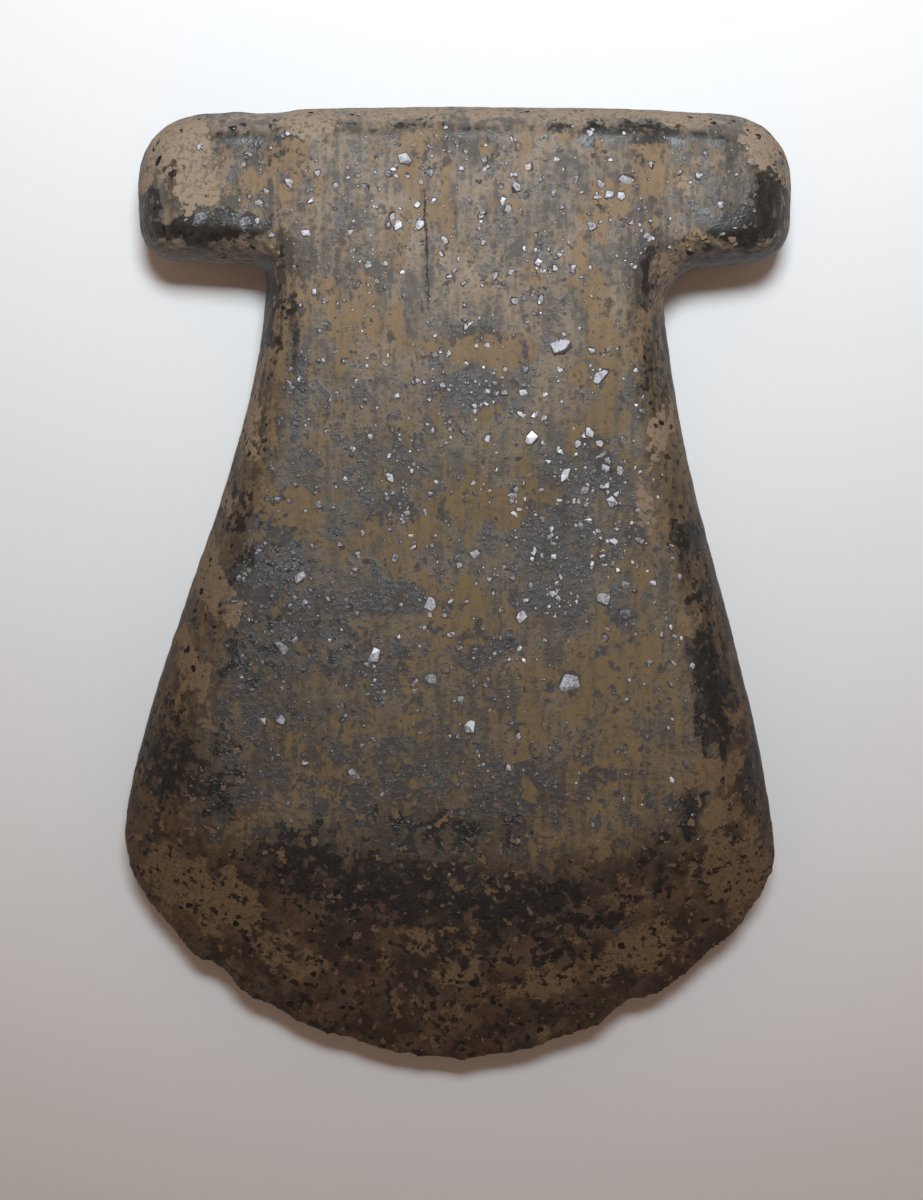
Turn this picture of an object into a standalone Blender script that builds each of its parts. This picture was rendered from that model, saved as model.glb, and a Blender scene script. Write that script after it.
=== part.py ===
"""An eared stone axe head, T-shaped, lying on its back.

Lengths are in metres. The poll, the blunt back of the axe, lies towards +Y and the
cutting edge towards -Y. The two ears point along X, and the underside rests on Z = 0.
The plan is drawn with drops: distances from the poll line, down towards the edge.
"""

import math

import bmesh
import bpy
import numpy as np
from mathutils import Vector, geometry, noise

# The whole stone
LENGTH = 0.1430
THICKNESS = 0.0220
RIM_HEIGHT = 0.0100

# The head: two ears and the poll between them
EAR_SPAN = 0.0986
EAR_DEPTH = 0.0226
EAR_THINNING = 0.0014
POLL_CROWN = 0.0013
EAR_TOP_ROUND = 0.0102
EAR_FOOT_ROUND = 0.0052
EAR_FOOT_DRAFT = 0.0007
LEFT_NOTCH_ROUND = 0.0021
RIGHT_NOTCH_ROUND = 0.0062
RIGHT_EAR_SLOPE = 0.0016
LEFT_EAR_VALLEY = 0.0003
RIGHT_EAR_VALLEY = 0.0009
EAR_VALLEY_WIDTH = 0.0080

# The blade: it flares from the neck and leans a little to the left
NECK_WIDTH = 0.0605
NECK_DROP = 0.0331
NECK_TAPER = 0.0010
BLADE_WIDTH = 0.0980
BLADE_LEAN = 0.0022
LEFT_WIDEST_DROP = 0.1085
RIGHT_WIDEST_DROP = 0.1120
LEFT_EDGE_SWEEP = 1.78
RIGHT_EDGE_SWEEP = 1.60

# How far the rounding of the sides runs in from the rim
POLL_RUN = 0.0052
EAR_FOOT_RUN = 0.0036
NECK_RUN = 0.0062
LEFT_BLADE_RUN = 0.0130
RIGHT_BLADE_RUN = 0.0105
EDGE_RUN = 0.0300

# The faces: flat from the poll to here, then thinning towards the edge
FLAT_REACH = 0.0860
BIT_THICKNESS = 0.0165
FACE_CROWN = 0.0007
KEENNESS = 0.80
SIDE_FIRMNESS = 2.0
EDGE_FIRMNESS = 1.7
HAND_UNDULATION = 0.00028
UNDULATION_SPAN = 0.0170

# Old damage: chips along the cutting edge, as (across, width, depth), and nicks of the poll
EDGE_CHIPS = (
    (-0.0455, 0.0050, 0.0007),
    (-0.0368, 0.0066, 0.0013),
    (-0.0290, 0.0040, 0.0005),
    (-0.0165, 0.0052, 0.0006),
    (0.0035, 0.0046, 0.0005),
    (0.0150, 0.0040, 0.0006),
    (0.0245, 0.0062, 0.0014),
    (0.0372, 0.0050, 0.0006),
)
POLL_NICK = (-0.0290, 0.0090, 0.0005)

# How finely the stone is faceted
RIM_STEP = 0.0024
FACE_STEP = 0.0037
FIELD_STEP = 0.0003
RIM_RINGS = 5

STONE_COLOUR = (0.150, 0.118, 0.090, 1.0)
STONE_ROUGHNESS = 0.62


def clear_scene():
    for old in list(bpy.data.objects):
        bpy.data.objects.remove(old, do_unlink=True)


def eased(share):
    """0 below 0 and 1 above 1, with a smooth start and end."""
    share = np.clip(share, 0.0, 1.0)
    return share * share * (3.0 - 2.0 * share)


def rounded_corner(before, corner, after, radius, steps=6):
    """The arc of this radius that rounds a corner between two straight sides."""
    before, corner, after = Vector(before), Vector(corner), Vector(after)
    back = (before - corner).normalized()
    ahead = (after - corner).normalized()
    half_angle = back.angle(ahead) / 2.0
    centre = corner + (back + ahead).normalized() * radius / math.sin(half_angle)
    start = (corner + back * radius / math.tan(half_angle) - centre).normalized()
    end = (corner + ahead * radius / math.tan(half_angle) - centre).normalized()
    return [centre + start.slerp(end, step / steps) * radius for step in range(steps + 1)]


def flare(share):
    """How far the blade has widened, from the neck at 0 to its widest place at 1."""
    return (share + math.sin(share * math.pi / 2.0) ** 2) / 2.0


def half_poll():
    """The poll from the mid-line to where the ear begins, slightly crowned."""
    reach = EAR_SPAN / 2.0 - EAR_TOP_ROUND
    steps = 8
    across = [reach * step / steps for step in range(steps)]
    return [(x, POLL_CROWN * (2.0 * x / EAR_SPAN) ** 2) for x in across]


def half_ear(notch_round, slope):
    """One ear as (across, drop) points, from its top corner to the notch at the neck."""
    tip = EAR_SPAN / 2.0
    inner = tip - 2.0 * EAR_TOP_ROUND
    above = (inner, POLL_CROWN * (inner / tip) ** 2)
    top = (tip, POLL_CROWN)
    foot = (tip - EAR_FOOT_DRAFT, EAR_DEPTH)
    notch = (NECK_WIDTH / 2.0 - NECK_TAPER, EAR_DEPTH + slope)
    below = (NECK_WIDTH / 2.0, NECK_DROP)
    return (
        rounded_corner(above, top, foot, EAR_TOP_ROUND)
        + rounded_corner(top, foot, notch, EAR_FOOT_ROUND)
        + rounded_corner(foot, notch, below, notch_round)
    )


def half_blade(widest, widest_drop, sweep):
    """One side of the blade and its half of the cutting edge, as (across, drop) points."""
    neck = NECK_WIDTH / 2.0
    side_steps, edge_steps = 14, 16
    side = []
    for step in range(side_steps):
        share = step / side_steps
        across = neck + (widest - neck) * flare(share)
        side.append((across, NECK_DROP + (widest_drop - NECK_DROP) * share))
    edge = []
    for step in range(edge_steps):
        turn = step / edge_steps * math.pi / 2.0
        across = widest * math.cos(turn) ** (2.0 / sweep)
        edge.append((across, widest_drop + (LENGTH - widest_drop) * math.sin(turn) ** (2.0 / sweep)))
    return side + edge


def bite(across, place, width, depth):
    """How deep a rounded chip is at this place across the stone."""
    return depth * max(0.0, 1.0 - (2.0 * (across - place) / width) ** 2)


def plan_keys():
    """The outline's own points, clockwise from the middle of the poll, in head coordinates."""
    right = [
        *half_poll(),
        *half_ear(RIGHT_NOTCH_ROUND, RIGHT_EAR_SLOPE),
        *half_blade(BLADE_WIDTH / 2.0 - BLADE_LEAN, RIGHT_WIDEST_DROP, RIGHT_EDGE_SWEEP),
    ]
    left = [
        *half_poll(),
        *half_ear(LEFT_NOTCH_ROUND, EAR_FOOT_DRAFT),
        *half_blade(BLADE_WIDTH / 2.0 + BLADE_LEAN, LEFT_WIDEST_DROP, LEFT_EDGE_SWEEP),
    ]
    keys = [Vector(point) for point in right] + [Vector((0.0, LENGTH))]
    keys += [Vector((-point[0], point[1])) for point in reversed(left[1:])]
    return [Vector((key.x, -key.y)) for key in keys]


def walked(points, step):
    """The closed line through these points, cut into even steps."""
    points = np.array(points, float)
    closed = np.vstack([points, points[:1]])
    along = np.concatenate([[0.0], np.cumsum(np.linalg.norm(np.diff(closed, axis=0), axis=1))])
    count = max(12, round(along[-1] / step))
    wanted = np.arange(count) * along[-1] / count
    return np.column_stack([np.interp(wanted, along, closed[:, axis]) for axis in (0, 1)])


def damaged(outline):
    """The outline with the chips of its cutting edge and the nick of its poll."""
    worn = outline.copy()
    for point in worn:
        if -point[1] > max(LEFT_WIDEST_DROP, RIGHT_WIDEST_DROP):
            point[1] += sum(bite(point[0], *chip) for chip in EDGE_CHIPS)
        elif -point[1] < 2.0 * POLL_CROWN:
            point[1] -= bite(point[0], *POLL_NICK)
    return worn


def inward_normals(outline):
    """Unit normals that point into the stone, for an outline that runs clockwise."""
    along = np.roll(outline, -1, axis=0) - np.roll(outline, 1, axis=0)
    normals = np.column_stack([along[:, 1], -along[:, 0]])
    return normals / np.linalg.norm(normals, axis=1, keepdims=True)


def rim_runs(outline):
    """How far the rounding runs in from each point of the outline."""
    across, drop = outline[:, 0], -outline[:, 1]
    blade_run = np.where(across < 0.0, LEFT_BLADE_RUN, RIGHT_BLADE_RUN)
    share = (drop - NECK_DROP) / (LEFT_WIDEST_DROP - NECK_DROP)
    runs = NECK_RUN + (blade_run - NECK_RUN) * eased(share)
    facing_down = inward_normals(outline)[:, 1] > math.cos(math.radians(50.0))
    under_ear = facing_down & (drop < NECK_DROP)
    runs[under_ear] = EAR_FOOT_RUN
    runs[drop < EAR_DEPTH / 3.0] = POLL_RUN
    to_edge = (drop - LEFT_WIDEST_DROP) / (LENGTH - LEFT_WIDEST_DROP)
    runs += (EDGE_RUN - blade_run) * eased(to_edge * 1.6)
    return runs


def rim_distance(points, field):
    """Distance from the rim, softened so that no ridge stands where two sides meet."""
    apart = np.linalg.norm(points[:, None, :] - field[None, :, :], axis=2)
    return (math.pi / 2.0 / (FIELD_STEP / np.maximum(apart, FIELD_STEP) ** 4).sum(axis=1)) ** (1.0 / 3.0)


def rim_run(points, field, field_runs):
    """The rounding's run at each point, blended from the rim around it."""
    apart = np.linalg.norm(points[:, None, :] - field[None, :, :], axis=2)
    weights = 1.0 / np.maximum(apart, FIELD_STEP) ** 4
    return (weights * field_runs).sum(axis=1) / weights.sum(axis=1)


def ring_points(outline, runs):
    """Points inside the rim, closer together where the rounding is steep."""
    normals = inward_normals(outline)
    kept = []
    for ring in range(1, RIM_RINGS + 1):
        share = 1.0 - math.cos(math.pi / 2.0 * ring / RIM_RINGS)
        offsets = runs * share
        ring_of_points = outline + normals * offsets[:, None]
        for place, offset in zip(ring_of_points, offsets, strict=True):
            clear_of_rim = np.linalg.norm(outline - place, axis=1).min() > 0.96 * offset
            spread = all(np.linalg.norm(place - other) > 0.45 * min(RIM_STEP, offset) for other in kept)
            if clear_of_rim and spread:
                kept.append(place)
    return np.array(kept)


def face_points(outline, rings):
    """A triangular grid over the rest of the face, clear of the rim and its rings."""
    low, high = outline.min(axis=0), outline.max(axis=0)
    row_step = FACE_STEP * math.sqrt(3.0) / 2.0
    taken = np.vstack([outline, rings])
    kept = []
    for row in range(1, int((high[1] - low[1]) / row_step)):
        y = low[1] + row * row_step
        shift = FACE_STEP / 2.0 * (row % 2)
        for column in range(int((high[0] - low[0]) / FACE_STEP) + 1):
            place = np.array([low[0] + shift + column * FACE_STEP, y])
            if np.linalg.norm(taken - place, axis=1).min() > 0.62 * FACE_STEP:
                kept.append(place)
    return np.array(kept)


def plan_mesh(outline, inner):
    """Triangles over the plan, from Blender's Delaunay triangulation."""
    points = [Vector(point) for point in np.vstack([outline, inner])]
    loop = list(range(len(outline)))
    inside_only = 1
    made = geometry.delaunay_2d_cdt(points, [], [loop], inside_only, 1e-7)
    return np.array([tuple(point) for point in made[0]]), [tuple(face) for face in made[2]]


def section(share, firmness, keenness):
    """The side's rise from the rim at 0 to the face at 1: full and round, or keen."""
    left = 1.0 - np.clip(share, 0.0, 1.0)
    rounded = (1.0 - left**firmness) ** (1.0 / firmness)
    keen = 1.0 - left**1.8
    return rounded + (keen - rounded) * keenness


def undulation(points):
    """The slow unevenness that pecking and grinding by hand leave, from -1 to 1."""
    span = UNDULATION_SPAN
    return np.array([noise.noise((x / span, y / span, 0.37)) for x, y in points])


def ear_valleys(points):
    """Shallow hollows that set the ears off from the face, in line with the neck."""
    across = points[:, 0]
    depth = np.where(across < 0.0, LEFT_EAR_VALLEY, RIGHT_EAR_VALLEY)
    from_middle = (np.abs(across) - NECK_WIDTH / 2.0) / (EAR_VALLEY_WIDTH / 2.0)
    return depth * np.exp(-(from_middle**2))


def heights(points, outline):
    """Heights of the upper and lower surface over points of the plan."""
    field = walked(outline, FIELD_STEP)
    share = rim_distance(points, field) / rim_run(points, field, rim_runs(field))
    drop = -points[:, 1]
    towards_edge = eased((drop - FLAT_REACH) / (LENGTH - FLAT_REACH))
    keenness = KEENNESS * eased((drop - FLAT_REACH) / (LEFT_WIDEST_DROP - FLAT_REACH) / 1.4)
    firmness = SIDE_FIRMNESS + (EDGE_FIRMNESS - SIDE_FIRMNESS) * towards_edge
    rise = section(share, firmness, keenness)
    ears = eased(1.0 - (drop - EAR_DEPTH) / NECK_DROP)
    past_neck = (np.abs(points[:, 0]) - NECK_WIDTH / 2.0) / (EAR_SPAN / 2.0 - NECK_WIDTH / 2.0)
    thinning = EAR_THINNING * eased(past_neck) * ears
    thinning += (THICKNESS - BIT_THICKNESS) / 2.0 * towards_edge
    crown = FACE_CROWN * np.minimum(1.0, (2.0 * points[:, 0] / BLADE_WIDTH) ** 2)
    wave = HAND_UNDULATION * undulation(points) - ears * ear_valleys(points)
    upper = RIM_HEIGHT + (THICKNESS - RIM_HEIGHT - thinning - crown + wave) * rise
    lower = RIM_HEIGHT - (RIM_HEIGHT - thinning) * rise
    return upper, lower


def stone_mesh(outline):
    """The closed surface: an upper and a lower face over one plan, joined along the rim."""
    rings = ring_points(outline, rim_runs(outline))
    points, faces = plan_mesh(outline, np.vstack([rings, face_points(outline, rings)]))
    upper, lower = heights(points, outline)
    rim_count = len(outline)
    shaped = bmesh.new()
    tops, bottoms = [], []
    for index, (x, y) in enumerate(points):
        if index < rim_count:
            rim = shaped.verts.new((x, y, RIM_HEIGHT))
            tops.append(rim)
            bottoms.append(rim)
        else:
            tops.append(shaped.verts.new((x, y, upper[index])))
            bottoms.append(shaped.verts.new((x, y, lower[index])))
    for face in faces:
        shaped.faces.new([tops[index] for index in face])
        shaped.faces.new([bottoms[index] for index in reversed(face)])
    bmesh.ops.recalc_face_normals(shaped, faces=shaped.faces)
    mesh = bpy.data.meshes.new("axe_head")
    shaped.to_mesh(mesh)
    shaped.free()
    return mesh


def centring(outline):
    """The shift that brings the middle of the plan's box to the origin."""
    middle = (outline.min(axis=0) + outline.max(axis=0)) / 2.0
    return Vector((-middle[0], -middle[1], 0.0))


def stone_material():
    material = bpy.data.materials.new("weathered_stone")
    material.use_nodes = True
    shader = material.node_tree.nodes["Principled BSDF"]
    shader.inputs["Base Color"].default_value = STONE_COLOUR
    shader.inputs["Roughness"].default_value = STONE_ROUGHNESS
    shader.inputs["Metallic"].default_value = 0.0
    material.diffuse_color = STONE_COLOUR
    return material


def make_axe_head(collection):
    outline = damaged(walked(plan_keys(), RIM_STEP))
    mesh = stone_mesh(outline)
    mesh.materials.append(stone_material())
    mesh.shade_smooth()
    axe = bpy.data.objects.new("axe_head", mesh)
    axe.location = centring(outline)
    collection.objects.link(axe)
    return axe


def main():
    clear_scene()
    collection = bpy.data.collections.new("eared stone axe head")
    bpy.context.scene.collection.children.link(collection)
    make_axe_head(collection)


main()
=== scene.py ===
# %% [markdown]
# # An eared stone axe head
# The object is one piece of hard dark stone, ground into a T: two ears at the poll for the
# lashing, a neck, and a blade that flares to a chipped, curved cutting edge. The imported solid
# gives the true form. This lesson gives it the skin of the real stone: the slow unevenness of
# hand grinding, pits, a hairline crack, glassy mineral grains that stand out of the face, dried
# earth, and a patina of brown, ochre, grey and black.

# %% Load the solid
import math

import bmesh
import bpy
import numpy as np
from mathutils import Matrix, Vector, kdtree, noise
from mathutils.bvhtree import BVHTree


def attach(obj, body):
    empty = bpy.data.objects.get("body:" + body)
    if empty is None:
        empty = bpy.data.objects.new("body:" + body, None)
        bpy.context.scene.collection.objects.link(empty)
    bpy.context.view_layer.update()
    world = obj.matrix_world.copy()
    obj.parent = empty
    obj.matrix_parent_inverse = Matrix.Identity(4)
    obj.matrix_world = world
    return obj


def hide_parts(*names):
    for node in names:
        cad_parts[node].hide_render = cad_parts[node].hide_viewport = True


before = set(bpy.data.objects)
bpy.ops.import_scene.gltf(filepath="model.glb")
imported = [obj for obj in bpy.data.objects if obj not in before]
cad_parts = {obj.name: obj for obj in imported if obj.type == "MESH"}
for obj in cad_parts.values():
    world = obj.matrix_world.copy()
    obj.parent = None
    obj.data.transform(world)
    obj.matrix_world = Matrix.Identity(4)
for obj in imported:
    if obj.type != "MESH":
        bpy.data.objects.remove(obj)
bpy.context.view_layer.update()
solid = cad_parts["axe_head"]
MM = 0.001


def new_object(name, data):
    """An object at the origin, linked to the scene."""
    made = bpy.data.objects.new(name, data)
    bpy.context.scene.collection.objects.link(made)
    return made


# %% [markdown]
# ## The camera
# The stone lies on its back and is seen from straight above, with the poll at the top of the
# picture. A long lens half a metre up keeps the rounded sides narrow, as they are in the
# photograph. The picture is 180 mm tall at the height of the stone's rim.

# %% Camera
RIM_HEIGHT = 0.010
CAMERA_DISTANCE = 0.55
PICTURE_HEIGHT = 0.180
SENSOR_HEIGHT = 36.0
CAMERA_PLACE = (0.64 * MM, -2.2 * MM)

camera_data = bpy.data.cameras.new("camera")
camera_data.sensor_fit = "VERTICAL"
camera_data.sensor_height = SENSOR_HEIGHT
camera_data.lens = SENSOR_HEIGHT * CAMERA_DISTANCE / PICTURE_HEIGHT
camera = new_object("camera", camera_data)
camera.location = (*CAMERA_PLACE, RIM_HEIGHT + CAMERA_DISTANCE)
bpy.context.scene.camera = camera
bpy.context.scene.view_settings.view_transform = "Standard"
print("lens in mm:", round(camera_data.lens, 1))

# %% [markdown]
# ## Light and floor
# The stone was photographed on a pale sheet under one soft light, which hangs over the poll end:
# the sheet is brightest at the top of the picture, and the shadows fall a few millimetres towards
# the cutting edge. An area light with a narrow spread gives that fall-off by itself, so the floor
# can stay one plain colour. The world fills the shadows, a little warmer than the light.

# %% Lamp
LAMP_PLACE = Vector((0.03, 0.32, 0.93))
LAMP_TARGET = Vector((0.01, 0.18, 0.0))
LAMP_SIZE = (0.24, 0.18)
LAMP_POWER = 0.64
LAMP_COLOUR = (0.835, 0.925, 0.98)
LAMP_SPREAD = math.radians(38.0)

lamp_data = bpy.data.lights.new("soft_key", "AREA")
lamp_data.shape = "RECTANGLE"
lamp_data.size, lamp_data.size_y = LAMP_SIZE
lamp_data.energy = LAMP_POWER
lamp_data.color = LAMP_COLOUR
lamp_data.spread = LAMP_SPREAD
lamp = new_object("soft_key", lamp_data)
lamp.location = LAMP_PLACE
lamp.rotation_euler = (LAMP_TARGET - LAMP_PLACE).to_track_quat("-Z", "Y").to_euler()
print("lamp height in mm:", round(lamp.location.z / MM))

# %% World and floor
ROOM_COLOUR = (1.0, 0.66, 0.50, 1.0)
ROOM_STRENGTH = 0.24
FLOOR_HALF = 1.2
FLOOR_HEIGHT = -0.2 * MM

world = bpy.data.worlds.new("soft_room")
world.use_nodes = True
room = world.node_tree.nodes["Background"]
room.inputs["Color"].default_value = ROOM_COLOUR
room.inputs["Strength"].default_value = ROOM_STRENGTH
bpy.context.scene.world = world

floor_mesh = bpy.data.meshes.new("floor")
square = ((-1, -1), (1, -1), (1, 1), (-1, 1))
floor_corners = [(x * FLOOR_HALF, y * FLOOR_HALF, FLOOR_HEIGHT) for x, y in square]
floor_mesh.from_pydata(floor_corners, [], [(0, 1, 2, 3)])
floor = new_object("floor", floor_mesh)
print("floor width in m:", round(floor.dimensions.x, 2))

# %% [markdown]
# ## Nodes written as sums
# A finish is easier to read as a formula than as a plate of wires. The class below wraps a
# socket: a sum on it adds the Math node for that sum, and the plain numbers stay in Python.
# Every other node comes from one method, which sets the node up first and then fills its sockets.
# The same class serves for materials and for Geometry Nodes.


# %% A socket that can be added, and a bench that makes nodes
class Wire:
    def __init__(self, bench, socket):
        self.bench = bench
        self.socket = socket

    def maths(self, operation, *others):
        return self.bench.node("ShaderNodeMath", {"operation": operation}, dict(enumerate((self, *others))))

    def __add__(self, other):
        return self.maths("ADD", other)

    __radd__ = __add__

    def __mul__(self, other):
        return self.maths("MULTIPLY", other)

    __rmul__ = __mul__

    def __sub__(self, other):
        return self.maths("SUBTRACT", other)

    def __rsub__(self, other):
        return self.bench.node("ShaderNodeMath", {"operation": "SUBTRACT"}, {0: other, 1: self})

    def __pow__(self, other):
        return self.maths("POWER", other)

    def size(self):
        return self.maths("ABSOLUTE")


class Bench:
    def __init__(self, tree):
        self.tree = tree

    def node(self, kind, settings=None, sockets=None, output=0):
        made = self.tree.nodes.new(kind)
        for name, value in (settings or {}).items():
            setattr(made, name, value)
        for key, value in (sockets or {}).items():
            self.fill(made.inputs[key], value)
        return Wire(self, made.outputs[output])

    def fill(self, socket, value):
        if isinstance(value, Wire):
            self.tree.links.new(value.socket, socket)
        else:
            socket.default_value = value

    def step(self, value, low, high):
        """0 below low and 1 above high, with soft ends."""
        return self.node(
            "ShaderNodeMapRange",
            {"interpolation_type": "SMOOTHSTEP"},
            {"Value": value, "From Min": low, "From Max": high},
        )

    def blend(self, share, first, second):
        """A colour between two colours."""
        mix = self.tree.nodes.new("ShaderNodeMix")
        mix.data_type = "RGBA"
        self.fill(mix.inputs[0], share)
        self.fill(mix.inputs[6], first)
        self.fill(mix.inputs[7], second)
        return Wire(self, mix.outputs[2])

    def stretched(self, vector, amounts):
        return self.node("ShaderNodeVectorMath", {"operation": "MULTIPLY"}, {0: vector, 1: amounts})

    def field(self, name):
        """A number that each point of the surface carries, for a material."""
        return self.node("ShaderNodeAttribute", {"attribute_name": name}, output="Fac")

    def grain(self, vector, scale, detail=4.0, roughness=0.55, place=0.0):
        """Cloudy noise about zero. The place shifts it, so that two layers don't match."""
        moved = self.node("ShaderNodeVectorMath", {"operation": "ADD"}, {0: vector, 1: (place,) * 3})
        sockets = {"Vector": moved, "Scale": scale, "Detail": detail, "Roughness": roughness}
        return self.node("ShaderNodeTexNoise", {}, sockets) - 0.5

    def cells(self, vector, scale, output="Distance"):
        """Cells of random shape: the distance from each one's middle, or a colour of its own."""
        sockets = {"Vector": vector, "Scale": scale, "Randomness": 1.0}
        return self.node("ShaderNodeTexVoronoi", {"feature": "F1"}, sockets, output)

    def millimetres(self):
        """Where a point is on its piece, in millimetres."""
        local = self.node("ShaderNodeTexCoord", output="Object")
        return self.node("ShaderNodeVectorMath", {"operation": "SCALE"}, {0: local, "Scale": 1.0 / MM})


def new_material(name):
    material = bpy.data.materials.new(name)
    material.use_nodes = True
    bench = Bench(material.node_tree)
    return material, bench, material.node_tree.nodes["Principled BSDF"].inputs


def colour(red, green, blue):
    return (red, green, blue, 1.0)


# %% Floor finish
floor_finish, bench, shader = new_material("pale_sheet")
shader["Base Color"].default_value = colour(0.83, 0.83, 0.83)
shader["Roughness"].default_value = 0.75
shader["Specular IOR Level"].default_value = 0.25
floor_mesh.materials.append(floor_finish)
print("floor finish:", len(bench.tree.nodes), "nodes")

# %% [markdown]
# ## From the solid to a stone skin
# The solid is a few thousand flat facets, welded here into one surface. A voxel remesh turns it
# into an even net of squares of 0.6 mm, fine enough to carry pits and chips as true geometry and
# still coarse enough for a light mesh. A little smoothing melts the facets and wears the rim
# blunt, as use and burial did.

# %% Weld, remesh and soften
NET_SQUARE = 0.59 * MM
SOFTENING = 0.5
SOFTENING_ROUNDS = 6
WELD_DISTANCE = 0.001 * MM


def applied(piece, name):
    """A plain mesh object with the piece's modifiers applied. The piece is removed."""
    evaluated = piece.evaluated_get(bpy.context.evaluated_depsgraph_get())
    mesh = bpy.data.meshes.new_from_object(evaluated)
    mesh.name = name
    bpy.data.objects.remove(piece)
    return new_object(name, mesh)


welded = bmesh.new()
welded.from_mesh(solid.data)
bmesh.ops.remove_doubles(welded, verts=welded.verts, dist=WELD_DISTANCE)
base_mesh = bpy.data.meshes.new("stone_base")
welded.to_mesh(base_mesh)
welded.free()
base = new_object("stone_base", base_mesh)
remesh = base.modifiers.new("even_net", "REMESH")
remesh.mode = "VOXEL"
remesh.voxel_size = NET_SQUARE
soften = base.modifiers.new("soften", "SMOOTH")
soften.factor = SOFTENING
soften.iterations = SOFTENING_ROUNDS
stone = applied(base, "ground_stone")
stone.data.materials.clear()
print("stone net:", len(stone.data.vertices), "points,", len(stone.data.polygons), "faces")

# %% [markdown]
# ## Places on the stone
# Much of this stone's look is where things lie: pale earth on the left ear, bare grey stone in
# the middle, a dark band, partly painted shade, where the face turns down to the bit. Each place
# is written once, by name, in millimetres from the stone's centre: across, along, half-width,
# half-length, turn and strength. The edges of all of them are bent by noise, and the materials
# break them up further, so no oval shows.

# %% Pale earth that stayed on the stone
EARTH_AREAS = (
    ("left ear, top corner", -41.4, 65.3, 4.9, 4.0, -20, 1.0),
    ("left ear, middle", -38.5, 59.3, 4.2, 3.4, 0, 0.9),
    ("left ear, outer end", -46.2, 60.4, 1.0, 1.8, 0, 0.5),
    ("left ear, foot", -35.5, 48.2, 8.1, 0.9, 3, 0.3),
    ("left ear, by the poll", -32.4, 69.0, 5.1, 0.9, 4, 0.5),
    ("poll, left patch", -22.0, 68.2, 4.4, 2.2, -5, 1.0),
    ("poll, left", -8.5, 69.8, 10.4, 1.0, 1, 0.8),
    ("poll, middle", 6.4, 69.6, 8.9, 1.2, 0, 0.75),
    ("poll, right", 27.2, 69.2, 12.7, 1.0, -2, 0.95),
    ("right ear, top corner", 45.4, 65.1, 3.6, 2.5, -40, 0.95),
    ("right ear, end", 48.7, 59.6, 0.9, 3.3, 0, 0.5),
    ("right ear, root", 34.5, 56.8, 1.1, 3.2, 8, 0.45),
    ("right ear, spot", 41.2, 58.0, 1.0, 1.8, 20, 0.35),
    ("right notch, shelf", 37.1, 51.1, 3.4, 0.8, 5, 0.55),
    ("right notch, throat", 31.6, 46.3, 1.5, 3.0, 10, 0.42),
    ("right neck", 30.2, 41.8, 1.2, 2.1, 0, 0.45),
    ("left notch", -26.0, 48.2, 1.0, 1.3, 0, 0.4),
    ("left neck", -28.2, 38.0, 1.3, 5.7, 8, 0.4),
    ("left facet, high", -30.6, 24.6, 2.4, 6.0, 14, 0.7),
    ("left facet, middle", -34.2, 12.7, 1.2, 4.5, 20, 0.65),
    ("left facet, low", -36.4, 0.0, 3.0, 6.0, 16, 1.0),
    ("left facet, lower", -39.5, -11.1, 2.0, 5.1, 22, 0.75),
    ("left facet, foot", -45.5, -27.5, 1.8, 2.4, 30, 0.6),
    ("bit, left corner", -41.6, -43.9, 5.4, 5.1, -35, 0.8),
    ("bit, left", -34.1, -47.0, 5.3, 5.0, -20, 0.85),
    ("bit, left low", -24.5, -55.0, 5.9, 3.8, -25, 0.65),
    ("bit, low", -8.4, -61.7, 7.3, 2.3, -8, 0.45),
    ("bit, middle patch", -0.2, -57.4, 3.8, 1.9, 0, 0.95),
    ("bit, middle", -4.9, -52.7, 2.1, 2.6, 30, 0.55),
    ("bit, right low", 12.9, -58.7, 5.9, 2.9, 10, 0.75),
    ("bit, right", 26.8, -54.3, 7.3, 3.8, 25, 0.8),
    ("bit, right corner", 41.4, -42.7, 5.4, 6.6, 15, 0.95),
    ("right facet, top", 30.2, 22.8, 1.8, 5.1, -15, 0.7),
    ("right facet, high", 27.7, 12.0, 1.8, 3.6, 0, 0.65),
    ("right facet, middle", 34.7, -6.4, 1.9, 2.2, 20, 0.8),
    ("right facet, low", 41.8, -18.9, 0.9, 3.3, -10, 0.6),
    ("right facet, lower", 38.4, -27.5, 3.9, 2.4, 15, 0.85),
    ("right facet, foot", 39.8, -33.8, 3.0, 3.6, 0, 0.6),
    ("lower face, right patch", 19.8, -38.9, 3.2, 3.8, 0, 0.6),
    ("lower face, right spot", 14.5, -36.3, 1.8, 2.1, 0, 0.55),
)
print("earth places:", len(EARTH_AREAS))

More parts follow.
